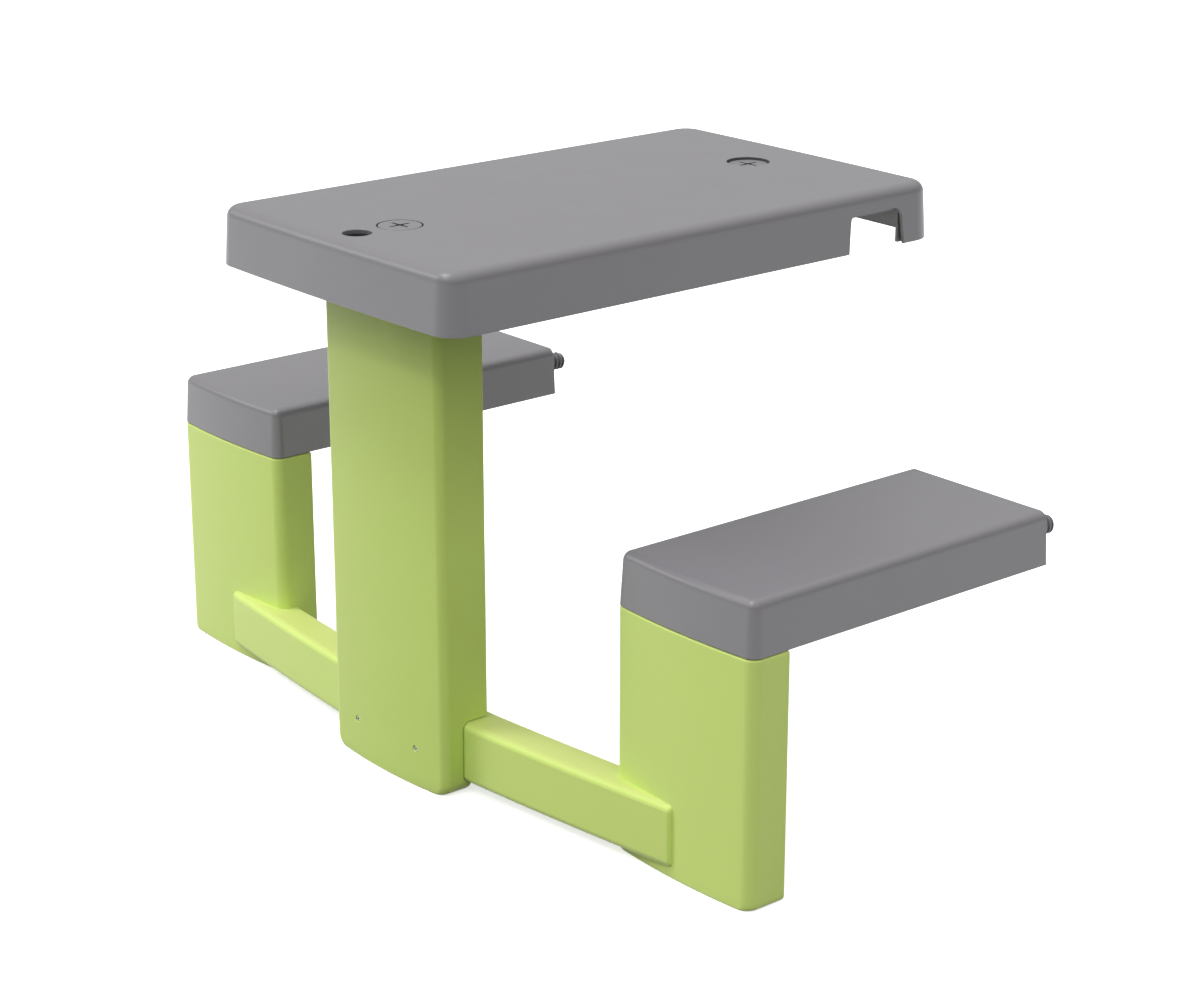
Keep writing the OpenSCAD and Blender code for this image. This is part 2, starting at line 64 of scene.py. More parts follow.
# Benches
SEAT_H, SEAT_W, SEAT_X, SEAT_REACH, SEAT_SKIRT = 239.8, 149.8, 297.7, 310.0, 42.2
SEAT_FLARE, SEAT_CORNER, SEAT_EDGE, SEAT_BOW = 2.1, 10.2, 7.6, 3.0
SEAT_RIM_Z = SEAT_H - SEAT_SKIRT
BENCH_REAR, BENCH_FOOT = -270.6, 5.0
WALL_SCREW_X, WALL_SCREW_Z = 55.0, 221.6

# Screws
CREST, ROOT, PITCH, SCREW_OUT, SHANK_HOLE = 8.0, 5.6, 4.4, 24.0, 8.6
HEAD_EDGE, WALL_HEAD_R = 0.6, 12.6
GROOVE_REACH, GROOVE_END_R, GROOVE_MID, GROOVE_DEPTH, GROOVE_TURNS = 9.4, 0.7, 1.5, 2.4, (3, 93)

# Ribs: how thick they are, and how far they are let into the skin above them
RIB, LET_IN = 2.4, 1.2


# ---------------------------------------------------------------- node graphs

class Num:
    """A socket in a sum: an operator on it adds its Math node."""

    def __init__(self, graph, socket):
        self.graph, self.socket = graph, socket

    def __add__(self, other):
        return self.graph.maths("ADD", self, other)

    def __sub__(self, other):
        return self.graph.maths("SUBTRACT", self, other)

    def __mul__(self, other):
        return self.graph.maths("MULTIPLY", self, other)

    def __truediv__(self, other):
        return self.graph.maths("DIVIDE", self, other)

    def __rsub__(self, other):
        return self.graph.maths("SUBTRACT", other, self)

    def __rtruediv__(self, other):
        return self.graph.maths("DIVIDE", other, self)

    __radd__, __rmul__ = __add__, __mul__


class Graph:
    """A node tree and the one way of adding a node to it."""

    def __init__(self, tree):
        self.tree = tree

    def feed(self, socket, value):
        if isinstance(value, Num):
            value = value.socket
        if isinstance(value, bpy.types.NodeSocket):
            self.tree.links.new(value, socket)
        else:
            socket.default_value = value

    def add(self, kind, values=None, stops=None, **settings):
        node = self.tree.nodes.new(kind)
        for name, value in settings.items():
            setattr(node, name, value)
        if stops:
            ramp = node.color_ramp
            while len(ramp.elements) < len(stops):
                ramp.elements.new(1.0)
            for element, (place, tone) in zip(ramp.elements, stops):
                element.position = place
                element.color = (*tone, 1.0) if isinstance(tone, tuple) else (tone, tone, tone, 1.0)
        for name, value in (values or {}).items():
            self.feed(node.inputs[name], value)
        return node

    def maths(self, operation, *terms, clamp=False):
        node = self.add("ShaderNodeMath", dict(enumerate(terms)), operation=operation, use_clamp=clamp)
        return Num(self, node.outputs[0])

    def mix(self, share, first, second):
        node = self.add("ShaderNodeMix", {0: share, 6: first, 7: second}, data_type="RGBA")
        return node.outputs[2]


# ---------------------------------------------------------------- finishes

def rgb(red, green, blue):
    """A colour as seen on a screen, 0 to 255, turned into light."""
    return tuple((c / 255 / 12.92 if c <= 10 else ((c / 255 + 0.055) / 1.055) ** 2.4)
                 for c in (red, green, blue)) + (1.0,)


def moulded_plastic(name, tone, deep, painted_top_shading=None, rough=0.4, shine=0.8,
                    grain=1.0, painted_bore_shade=None):
    """Satin moulded plastic: fine spark-eroded grain, faint flow marks and a little handling haze.

    The top colour, when given, is painted light and shade on faces turned up. The bore's (low, high,
    tone) is painted shade: the colour darkens from one height down to the other.
    """
    material = bpy.data.materials.new(name)
    material.use_nodes = True
    graph = Graph(material.node_tree)
    shader = material.node_tree.nodes["Principled BSDF"]
    place = graph.add("ShaderNodeTexCoord").outputs["Object"]
    flow = graph.add("ShaderNodeMapping", {"Vector": place, "Scale": (1.0, 0.55, 1.6)})
    clouds = graph.add("ShaderNodeTexNoise", {"Vector": flow.outputs[0], "Scale": 9.0, "Detail": 3.0,
                                              "Roughness": 0.55, "Distortion": 0.6})
    speck = graph.add("ShaderNodeTexNoise", {"Vector": place, "Scale": 700.0, "Detail": 1.0,
                                             "Roughness": 0.6})
    grit = graph.add("ShaderNodeTexNoise", {"Vector": place, "Scale": 1500.0, "Detail": 3.0,
                                            "Roughness": 0.65})
    haze = graph.add("ShaderNodeTexNoise", {"Vector": place, "Scale": 26.0, "Detail": 5.0,
                                            "Roughness": 0.62})
    cloud = Num(graph, clouds.outputs["Fac"])
    spot = Num(graph, speck.outputs["Fac"])
    smear = Num(graph, haze.outputs["Fac"])
    share = (cloud - 0.5) * 0.6 + (spot - 0.5) * 0.4 + 0.5
    colour = graph.mix(graph.maths("ADD", share, 0.0, clamp=True), deep, tone)
    # Painted light and shade: faces turned up take the darker, yellower top colour instead of the
    # plastic's own.
    if painted_top_shading:
        facing = graph.add("ShaderNodeSeparateXYZ",
                           {"Vector": graph.add("ShaderNodeNewGeometry").outputs["Normal"]})
        upward = graph.add("ShaderNodeMapRange", {"Value": facing.outputs["Z"], "From Min": 0.55,
                                                  "From Max": 0.95}, interpolation_type="SMOOTHSTEP")
        colour = graph.mix(upward.outputs[0], colour, painted_top_shading)
    # Painted shade: the colour darkens down the bore, from one height to the other.
    if painted_bore_shade:
        level = graph.add("ShaderNodeSeparateXYZ", {"Vector": place})
        lit = graph.add("ShaderNodeMapRange", {"Value": level.outputs["Z"], "From Min": painted_bore_shade[0] * MM,
                                             "From Max": painted_bore_shade[1] * MM}, interpolation_type="SMOOTHSTEP")
        colour = graph.mix(lit.outputs[0], painted_bore_shade[2], colour)
    graph.feed(shader.inputs["Base Color"], colour)
    graph.feed(shader.inputs["Roughness"], (smear - 0.5) * 0.08 + (spot - 0.5) * 0.04 + rough)
    shader.inputs["IOR"].default_value = 1.49
    shader.inputs["Specular IOR Level"].default_value = shine
    height = Num(graph, grit.outputs["Fac"]) * grain + spot * 0.4 + smear * 0.3
    bump = graph.add("ShaderNodeBump", {"Strength": 0.15, "Distance": 0.00005, "Height": height})
    graph.feed(shader.inputs["Normal"], bump.outputs[0])
    return material


def zinc_steel(name):
    """Bright zinc on a small screw, turned on a lathe and slightly clouded."""
    material = bpy.data.materials.new(name)
    material.use_nodes = True
    graph = Graph(material.node_tree)
    shader = material.node_tree.nodes["Principled BSDF"]
    place = graph.add("ShaderNodeTexCoord").outputs["Object"]
    stretched = graph.add("ShaderNodeMapping", {"Vector": place, "Scale": (1.0, 0.08, 1.0)})
    lines = graph.add("ShaderNodeTexNoise", {"Vector": stretched.outputs[0], "Scale": 2600.0,
                                             "Detail": 2.0})
    cloud = graph.add("ShaderNodeTexNoise", {"Vector": place, "Scale": 700.0, "Detail": 3.0})
    line = Num(graph, lines.outputs["Fac"])
    graph.feed(shader.inputs["Base Color"],
               graph.mix(cloud.outputs["Fac"], rgb(150, 152, 155), rgb(186, 187, 186)))
    shader.inputs["Metallic"].default_value = 1.0
    graph.feed(shader.inputs["Roughness"], line * 0.2 + 0.28)
    bump = graph.add("ShaderNodeBump", {"Strength": 0.2, "Distance": 0.00004, "Height": line})
    graph.feed(shader.inputs["Normal"], bump.outputs[0])
    return material


GREY = moulded_plastic("grey satin moulding", rgb(122, 120, 124), rgb(117, 115, 119))
# The bore's grey is darker than the plastic's own and darkens further with depth: painted shade.
BORE_PAINTED_SHADE = moulded_plastic("dull grey bore", rgb(108, 108, 109), rgb(103, 103, 105), rough=0.6,
                            painted_bore_shade=(TABLE_H - 3.7, TABLE_H - 3.2, rgb(40, 40, 41)))
# Both greens paint light and shade on their upward faces with a darker, yellower top colour.
GREEN = moulded_plastic("green satin moulding", rgb(230, 253, 141), rgb(226, 250, 138),
                        painted_top_shading=rgb(216, 230, 135), shine=0.3)
# The centre leg's green is the bench frame's plastic made darker: painted shade under the table top.
LEG_GREEN_PAINTED_SHADE = moulded_plastic("green satin moulding of the centre leg",
                            rgb(215, 239, 126), rgb(211, 235, 123),
                            painted_top_shading=rgb(216, 230, 135), shine=0.3)
# The disc recesses' walls and the cross grooves of the screw heads are darker greys: painted shade in
# hollows.
RECESS_WALL_PAINTED_SHADE = moulded_plastic("dull grey recess wall", rgb(73, 73, 74), rgb(68, 68, 70), rough=0.6)
GROOVE_PAINTED_SHADE = moulded_plastic("dull grey recess", rgb(51, 51, 52), rgb(46, 46, 48), rough=0.6)
SCREW_GREY = moulded_plastic("screw grey moulding", rgb(120, 118, 122), rgb(115, 113, 117), rough=0.42)
ZINC = zinc_steel("zinc plated screw")


# ---------------------------------------------------------------- mesh tools

def new_piece(name, points, faces, material):
    """A mesh object from points in millimetres, at the origin, normals outwards."""
    mesh = bpy.data.meshes.new(name)
    mesh.from_pydata([[c * MM for c in p] for p in points], [], faces)
    mesh.materials.append(material)
    piece = bpy.data.objects.new(name, mesh)
    bpy.context.scene.collection.objects.link(piece)
    return piece


def drop(piece):
    mesh = piece.data
    bpy.data.objects.remove(piece)
    if mesh.users == 0:
        bpy.data.meshes.remove(mesh)


def settle(piece):
    """Turns the evaluated object into its plain mesh and takes its modifiers off."""
    view = bpy.context.evaluated_depsgraph_get()
    view.update()
    mesh = bpy.data.meshes.new_from_object(piece.evaluated_get(view), preserve_all_data_layers=True,
                                           depsgraph=view)
    old = piece.data
    piece.modifiers.clear()
    piece.data = mesh
    bpy.data.meshes.remove(old)
    mesh.name = piece.name
    return piece


def join_or_cut(piece, operation, tools):
    """Boolean of closed solids, one after the other."""
    for tool in tools:
        modifier = piece.modifiers.new("cut", "BOOLEAN")
        modifier.operation, modifier.object, modifier.solver = operation, tool, "MANIFOLD"
        settle(piece)
        drop(tool)
    return piece


def smooth(piece, crease=32):
    """Smooth shading with creases, big flat faces kept flat."""
    mesh = piece.data
    mesh.polygons.foreach_set("use_smooth", [True] * len(mesh.polygons))
    mesh.set_sharp_from_angle(angle=math.radians(crease))
    modifier = piece.modifiers.new("flat faces", "WEIGHTED_NORMAL")
    modifier.keep_sharp, modifier.weight = True, 60
    return settle(piece)


def loft(name, rings, material):
    """Closed solid through rings of equally many points; every ring turns the same way."""
    count = len(rings[0])
    points = [p for ring in rings for p in ring]
    faces = [tuple(reversed(range(count)))]
    for low in range(0, len(points) - count, count):
        for j in range(count):
            k = (j + 1) % count
            faces.append((low + j, low + k, low + count + k, low + count + j))
    faces.append(tuple(range(len(points) - count, len(points))))
    piece = new_piece(name, points, faces, material)
    volume = 0.0
    mesh = piece.data
    mesh.calc_loop_triangles()
    for t in mesh.loop_triangles:
        a, b, c = (mesh.vertices[i].co for i in t.vertices)
        volume += a.dot(b.cross(c))
    if volume < 0:
        mesh.flip_normals()
    return piece


def turned(name, outline, material, centre=(0, 0, 0), axis="z", sides=72):
    """Solid of revolution: outline is (radius, height) from one end's middle to the other's."""
    rings = []
    for radius, height in outline:
        ring = []
        for i in range(sides):
            angle = 2 * math.pi * i / sides
            u, v = radius * math.cos(angle), radius * math.sin(angle)
            p = (u, v, height) if axis == "z" else (u, height, v)
            ring.append(tuple(a + b for a, b in zip(p, centre)))
        rings.append(ring)
    return loft(name, rings, material)


def block(name, low, high, material):
    """Upright block between two corners, used for ribs and cuts."""
    (x0, y0, z0), (x1, y1, z1) = low, high
    rings = [[(x0, y0, z), (x1, y0, z), (x1, y1, z), (x0, y1, z)] for z in (z0, z1)]
    return loft(name, rings, material)


def arc(cx, cy, r, start, stop, steps):
    """Points on a circle, angles in degrees."""
    return [(cx + r * math.cos(math.radians(start + (stop - start) * i / steps)),
             cy + r * math.sin(math.radians(start + (stop - start) * i / steps)))
            for i in range(steps + 1)]


def dip(r, depth):
    """How far a rounding of radius r stands back at a depth below its edge."""
    if depth >= r:
        return 0.0
    return r - math.sqrt(max(0.0, r * r - (r - depth) ** 2))


def bowed_plan(inset, width, reach, bow, corner, wall_y, wall_r, back=0.0, square=False,
               end_bow=0.0):
    """Plan outline: bowed free end, round free corners, and a wall end bowed little or not at all.

    inset moves the whole outline in. A square wall end stands back by its own measure, back.
    """
    half, mid = width / 2, width / 2 - corner
    r = corner - inset
    centre_y = -reach + corner
    points = []
    steps = 24
    for i in range(steps + 1):
        share = -1 + 2 * i / steps
        slope = 2 * bow * share / mid
        size = math.hypot(slope, 1)
        points.append((mid * share + r * slope / size, centre_y + bow * share * share - r / size))
    lean = math.degrees(math.atan(2 * bow / mid))
    points += arc(mid, centre_y + bow, r, -90 + lean, 0, 14)[1:]
    far_y = wall_y - (back if square else inset)
    far_r = wall_r if square else wall_r - inset
    side = half - inset
    points += arc(side - far_r, far_y - far_r - end_bow, far_r, 0, 90, 12)
    points += [((side - far_r) * share, far_y - end_bow * share * share)
               for share in (0.75, 0.5, 0.25, 0, -0.25, -0.5, -0.75)]
    points += arc(-side + far_r, far_y - far_r - end_bow, far_r, 90, 180, 12)
    points += arc(-mid, centre_y + bow, r, 180, 270 - lean, 14)[:-1]
    return points


def shell_rings(plan, flare, edge, low, high, skin, corner, lip=0.9, square_r=0.0):
    """Rings of an open-bottomed shell, from the middle of its top down, round the rim and up inside."""
    rows = []
    for layer in (0.0, skin):
        r, top = edge - layer, high - layer
        rise = high - edge - low
        rows_here = [(min(layer + flare + r + 2.5, corner - 0.15), top)]
        for i in range(13):
            a = math.radians(90 - 90 * i / 12)
            rows_here.append((layer + flare + r * (1 - math.cos(a)), top - r + r * math.sin(a)))
        for z in (low + rise * 0.96, low + rise * 0.5, low + lip * 3):
            rows_here.append((layer + flare * (z - low) / rise, z))
        sign = 1 if layer == 0 else -1
        for i in range(5):
            a = math.radians(90 * i / 4)
            rows_here.append((layer + sign * lip * (1 - math.cos(a)), low + lip * (1 - math.sin(a))))
        rows += rows_here if layer == 0 else rows_here[::-1]
    rings = []
    for index, (inset, z) in enumerate(rows):
        outer = index < len(rows) // 2
        back = dip(square_r, high - z) if outer else skin
        if outer and z < low + lip:
            back = max(back, dip(lip, z - low))
        rings.append([(x, y, z) for x, y in plan(inset, back)])
    return rings


def core(plan, flare, edge, low, high, skin):
    """Solid half a wall inside a shell's outside, which trims the ribs so that none pokes through."""
    part, r = skin / 2, edge - skin / 2
    rows = [(part, low + 0.3), (part + flare, high - edge)]
    for i in range(1, 9):
        a = math.radians(90 * i / 8)
        rows.append((part + flare + r * (1 - math.cos(a)), high - edge + r * math.sin(a)))
    return loft("core", [[(x, y, z) for x, y in plan(inset, part)] for inset, z in rows], GREY)


# ---------------------------------------------------------------- table top

def table_plan(inset, back=0.0):
    return bowed_plan(inset, TABLE_W, TABLE_REACH, TABLE_BOW, FREE_CORNER, TABLE_PAST, WALL_CORNER,
                      end_bow=WALL_END_BOW)


def slot_outline(grow):
    """Side view of the wall slot with its rounded roof corners, grown by the mouth's rounding."""
    roof = SLOT_ROOF_Z
    points = [(-1.5, RIM_Z - 4.0), (-0.2, 412.0), (0.7, roof - 9.0)]
    for i in range(9):
        t = i / 8
        points.append(((1 - t) ** 2 * 1.1 + 2 * t * (1 - t) * 1.5 + t * t * 6.6,
                       (1 - t) ** 2 * (roof - 5.6) + 2 * t * (1 - t) * roof + t * t * roof))
    for i in range(11):
        t = i / 10
        points.append(((1 - t) ** 2 * 48.5 + 2 * t * (1 - t) * 57.4 + t * t * 58.5,
                       (1 - t) ** 2 * roof + 2 * t * (1 - t) * roof + t * t * (roof - 9.0)))
    points += [(59.4, 410.0), (60.9, RIM_Z - 4.0)]
    grown = []
    for i, (y, z) in enumerate(points):
        ay, az = points[max(0, i - 1)]
        by, bz = points[min(len(points) - 1, i + 1)]
        ty, tz = by - ay, bz - az
        size = math.hypot(ty, tz)
        grown.append((y - tz / size * grow, z + ty / size * grow))
    return grown


def slot_cutter():
    """Cutter right across both skirts; its mouths follow the leaning skirts and are rounded."""
    half, rise, mouth = TABLE_W / 2, TABLE_H - TABLE_EDGE - RIM_Z, 0.4
    stations = [(-3.0, mouth)] + [(mouth * d, dip(mouth, mouth * d)) for d in (0, 0.12, 0.3, 0.6, 1)] \
        + [(8.0, 0.0)]
    rings = []
    for side in (1, -1):
        part = []
        for depth, grow in stations:
            part.append([(side * (half - SKIRT_FLARE * max(0.0, z - RIM_Z) / rise - depth), y, z)
                         for y, z in slot_outline(grow)])
        rings += part if side == 1 else part[::-1]
    return loft("slot cutter", rings, GREY)


def rib_set(name, count, pitch, size, start, step_axis):
    """A row of equal moulded ribs, made with Geometry Nodes and turned into one closed mesh."""
    tree = bpy.data.node_groups.new(name, "GeometryNodeTree")
    tree.is_modifier = True
    face = tree.interface
    sockets = {}
    for label, kind in (("Geometry", "NodeSocketGeometry"), ("Count", "NodeSocketInt"),
                        ("Start", "NodeSocketVector"), ("Step", "NodeSocketVector"),
                        ("Rib size", "NodeSocketVector"), ("Material", "NodeSocketMaterial")):
        sockets[label] = face.new_socket(name=label, in_out="INPUT", socket_type=kind).identifier
    face.new_socket(name="Geometry", in_out="OUTPUT", socket_type="NodeSocketGeometry")
    graph = Graph(tree)
    given = graph.add("NodeGroupInput").outputs
    line = graph.add("GeometryNodeMeshLine", {"Count": given["Count"], "Start Location": given["Start"],
                                              "Offset": given["Step"]})
    rib = graph.add("GeometryNodeMeshCube", {"Size": given["Rib size"]})
    rows = graph.add("GeometryNodeInstanceOnPoints", {"Points": line.outputs[0],
                                                      "Instance": rib.outputs[0]})
    real = graph.add("GeometryNodeRealizeInstances", {0: rows.outputs[0]})
    done = graph.add("GeometryNodeSetMaterial", {"Geometry": real.outputs[0],
                                                 "Material": given["Material"]})
    graph.add("NodeGroupOutput", {0: done.outputs[0]})
    piece = new_piece(name, [], [], GREY)
    modifier = piece.modifiers.new("ribs", "NODES")
    modifier.node_group = tree
    step = [0.0, 0.0, 0.0]
    step[step_axis] = pitch * MM
    for label, value in (("Count", count), ("Start", [c * MM for c in start]), ("Step", step),
                         ("Rib size", [c * MM for c in size]), ("Material", GREY)):
        modifier[sockets[label]] = value
    return settle(piece)


def table_top():
    rings = shell_rings(table_plan, SKIRT_FLARE, TABLE_EDGE, RIM_Z, TABLE_H, SKIN, FREE_CORNER)
    shell = loft("table_top_shell", rings, GREY)
    inner = TABLE_W / 2 - SKIRT_FLARE - SKIN
    top = CEILING_Z + LET_IN
    collar_x, collar_front, collar_rear = LEG_W / 2 + 0.4, LEG_FRONT - 0.4, LEG_REAR + 0.4
    near_web = -4.2
    leg_seat, ledge_seat = TABLE_H - DISC_T, TABLE_H - DISC_T - LEDGE_RECESS
    adds = []
    # Cups of the two screw discs and the parasol sleeve
    for y, seat in ((LEG_SCREW_Y, leg_seat), (LEDGE_SCREW_Y, ledge_seat)):
        floor = seat - SKIN
        adds.append(turned("cup", [(20.4, floor), (21.0, floor + 0.6), (21.0, top)], GREY, (0, y, 0)))
    adds.append(turned("sleeve", [(12.4, TABLE_H - SLEEVE_H), (12.9, TABLE_H - SLEEVE_H + 0.5),
                                  (12.9, top)], GREY, (0, PARASOL_Y, 0)))
    # Collar round the centre leg's head
    collar = block("collar", (-collar_x - 2.6, collar_front - 2.6, CEILING_Z - 22),
                   (collar_x + 2.6, collar_rear + 2.6, top), GREY)
    join_or_cut(collar, "DIFFERENCE", [block("collar hole", (-collar_x, collar_front, CEILING_Z - 30),
                                             (collar_x, collar_rear, top + 5), GREY)])
    adds.append(collar)
    # Webs on both sides of the slot and liners inside the skirts behind it
    adds.append(block("near web", (-inner - LET_IN, near_web, WEB_Z),
                      (inner + LET_IN, near_web + SKIN, top), GREY))
    adds.append(block("far web", (0.3 - inner, WEB_Y, WEB_Z), (inner - 0.3, WEB_Y + SKIN, top), GREY))
    for side in (-1, 1):
        x0, x1 = side * (inner - 0.3), side * (inner - SKIN)
        adds.append(block("liner", (min(x0, x1), WEB_Y + 0.6, RIM_Z + 0.6),
                          (max(x0, x1), TABLE_PAST - 18, top), GREY))
        x0, x1 = side * (inner + LET_IN), side * (inner - 2.5)
        adds.append(block("bearing strip", (min(x0, x1), near_web + 1.5, SLOT_ROOF_Z - 2.2),
                          (max(x0, x1), WEB_Y + 1.5, top), GREY))
    # Ribs
    rib_rear = near_web + 1.5
    length = rib_rear - collar_rear - 1.3
    adds.append(rib_set("lengthwise ribs", 3, TABLE_W / 2 * 0.66, (RIB, length, 8 + LET_IN),
                        (-TABLE_W / 2 * 0.66, collar_rear + 1.3 + length / 2, CEILING_Z - 3.4), 0))
    span = rib_rear - collar_rear
    adds.append(rib_set("crosswise ribs", 2, span * 0.35, (2 * (inner + LET_IN), RIB, 8.5 + LET_IN),
                        (0, collar_rear + span * 0.3, CEILING_Z - 3.65), 1))
    deep = WEB_Y + 1.5 - near_web - 1.5
    for first in (-0.66, 0.3):
        adds.append(rib_set("bearing ribs", 2, 0.36 * TABLE_W / 2, (RIB, deep, top - SLOT_ROOF_Z),
                            (first * TABLE_W / 2, near_web + 1.5 + deep / 2, (top + SLOT_ROOF_Z) / 2), 0))
    inside = adds.pop(0)
    join_or_cut(inside, "UNION", adds)
    join_or_cut(inside, "INTERSECT", [core(table_plan, SKIRT_FLARE, TABLE_EDGE, RIM_Z, TABLE_H, SKIN)])
    join_or_cut(shell, "UNION", [inside])
    # Slot in both skirts, parasol hole, recesses of the discs and their shank holes
    between = block("between the skirts", (-inner, -30, RIM_Z - 20), (inner, 90, TABLE_H), GREY)
    cuts = [join_or_cut(slot_cutter(), "DIFFERENCE", [between])]
    mouth = [(PARASOL_R + 0.8, TABLE_H + 2), (PARASOL_R + 0.8, TABLE_H)] + \
        [(PARASOL_R + dip(0.8, 0.8 * t), TABLE_H - 0.8 * t) for t in (0.08, 0.2, 0.4, 0.7, 1)]
    cuts.append(turned("parasol cut", mouth + [(PARASOL_R, TABLE_H - SLEEVE_H + 0.6),
                                               (PARASOL_R + 0.6, TABLE_H - SLEEVE_H),
                                               (PARASOL_R + 0.6, TABLE_H - SLEEVE_H - 2)],
                       GREY, (0, PARASOL_Y, 0), sides=96))
    r = DISC_R + DISC_GAP + 0.15
    for y, seat in ((LEG_SCREW_Y, leg_seat), (LEDGE_SCREW_Y, ledge_seat)):
        mouth = [(r + 0.25, TABLE_H + 2), (r + 0.25, TABLE_H)] + \
            [(r + dip(0.25, 0.25 * t), TABLE_H - 0.25 * t) for t in (0.1, 0.3, 0.6, 1)]
        cuts.append(turned("disc recess", mouth + [(r, seat)], GREY, (0, y, 0), sides=96))
        cuts.append(turned("shank hole", [(SHANK_HOLE, seat + 1), (SHANK_HOLE, seat - SKIN - 3)], GREY,
                           (0, y, 0)))
    join_or_cut(shell, "DIFFERENCE", cuts)
    smooth(shell)
    # The bore and the walls of the disc recesses take darker greys: painted shade, deepest in the bore.
    shell.data.materials.clear()
    shell.data.materials.append(GREY)
    shell.data.materials.append(BORE_PAINTED_SHADE)
    shell.data.materials.append(RECESS_WALL_PAINTED_SHADE)
    for polygon in shell.data.polygons:
        x, y, z = (c / MM for c in polygon.center)
        in_bore = math.hypot(x, y - PARASOL_Y) < PARASOL_R + 0.3 and z < TABLE_H - 0.5
        in_recess = z < TABLE_H - 0.2 and any(math.hypot(x, y - c) < DISC_R + DISC_GAP + 0.2 for c in
                                              (LEG_SCREW_Y, LEDGE_SCREW_Y)) and z > TABLE_H - 7.2
        polygon.material_index = 1 if in_bore else 2 if in_recess else 0
    return shell


# ---------------------------------------------------------------- seats

def seat(side, name):
    def plan(inset, back=0.0):
        inner = 0.6 if back < SKIN else 1.2
        return [(x + side * SEAT_X, y) for x, y in
                bowed_plan(inset, SEAT_W, SEAT_REACH, SEAT_BOW, SEAT_CORNER, 0.0, inner, back, True)]
    shell = loft(name, shell_rings(plan, SEAT_FLARE, SEAT_EDGE, SEAT_RIM_Z, SEAT_H, SKIN, SEAT_CORNER,
                                   lip=0.5, square_r=0.5), GREY)
    inner = SEAT_W / 2 - SEAT_FLARE - SKIN + 1
    ceiling = SEAT_H - SKIN
    top = SEAT_H - SKIN + LET_IN
    x = side * SEAT_X
    socket = -275.7
    adds = [block("socket rib", (x - inner, socket, ceiling - 28), (x + inner, socket + RIB, top), GREY),
            rib_set("crosswise ribs", 2, -socket * 0.33, (2 * inner, RIB, 9.2),
                    (x, socket * 0.66, ceiling - 3.4), 1),
            block("lengthwise rib", (x - RIB / 2, socket + 1.2, ceiling - 8.4),
                  (x + RIB / 2, -16, top), GREY)]
    inside = adds.pop(0)
    join_or_cut(inside, "UNION", adds)
    join_or_cut(inside, "INTERSECT", [core(plan, SEAT_FLARE, SEAT_EDGE, SEAT_RIM_Z, SEAT_H, SKIN)])
    join_or_cut(shell, "UNION", [inside])
    hole = [(SHANK_HOLE + 0.5, 2), (SHANK_HOLE + 0.5, 0), (SHANK_HOLE + 0.15, -0.15),
            (SHANK_HOLE, -0.5), (SHANK_HOLE, -SKIN - 2)]
    join_or_cut(shell, "DIFFERENCE", [turned("wall screw hole", hole, GREY,
                                             (x + WALL_SCREW_X, 0, WALL_SCREW_Z), axis="y")])
    return smooth(shell)


# ---------------------------------------------------------------- bench frame

def bar_shift(x):
    """How far back the crossbar lies at x: a soft start beside the centre leg, then a gentle curve."""
    start, soft = LEG_W / 2, 10.0
    s = abs(x) - start
    if s < -soft:
        s = 0.0
    elif s < soft:
        s = (s + soft) ** 2 / (4 * soft)
    reach = BAR_END_X - start
    shift = 0.075 * s + 0.00014 * s * s
    return shift * BAR_SWEEP / (0.075 * reach + 0.00014 * reach * reach)


def crossbar():
    """The whole bar: swept back from the centre leg to both ends, softer in front than behind."""
    half = BAR_END_X
    stations = []
    for t in (0, 0.15, 0.45, 0.9, 1.5, 2.2, 3.0):
        stations.append((half - t, dip(3.0, t)))
    x = half - 8.0
    while x > 0:
        stations.append((x, 0.0))
        x -= 8.0
    stations = stations + [(-s, i) for s, i in reversed(stations)]
    rings = []
    for x, inset in stations:
        shift = bar_shift(x)
        front, rear = BAR_FRONT + shift + inset, BAR_REAR + shift - inset
        low, high = BAR_LOW + inset, BAR_LOW + BAR_H - inset
        lead, trail = max(BAR_LEAD - inset, 2.0), max(BAR_TRAIL - inset, 0.8)
        ring = arc(front + lead, high - lead, lead, 180, 90, 9) \
            + arc(rear - trail, high - trail, trail, 90, 0, 5) \
            + arc(rear - trail, low + trail, trail, 0, -90, 5) \
            + arc(front + lead, low + lead, lead, 270, 180, 9)
        rings.append([(x, y, z) for y, z in ring])
    return loft("bench_frame_moulding", rings, GREEN)


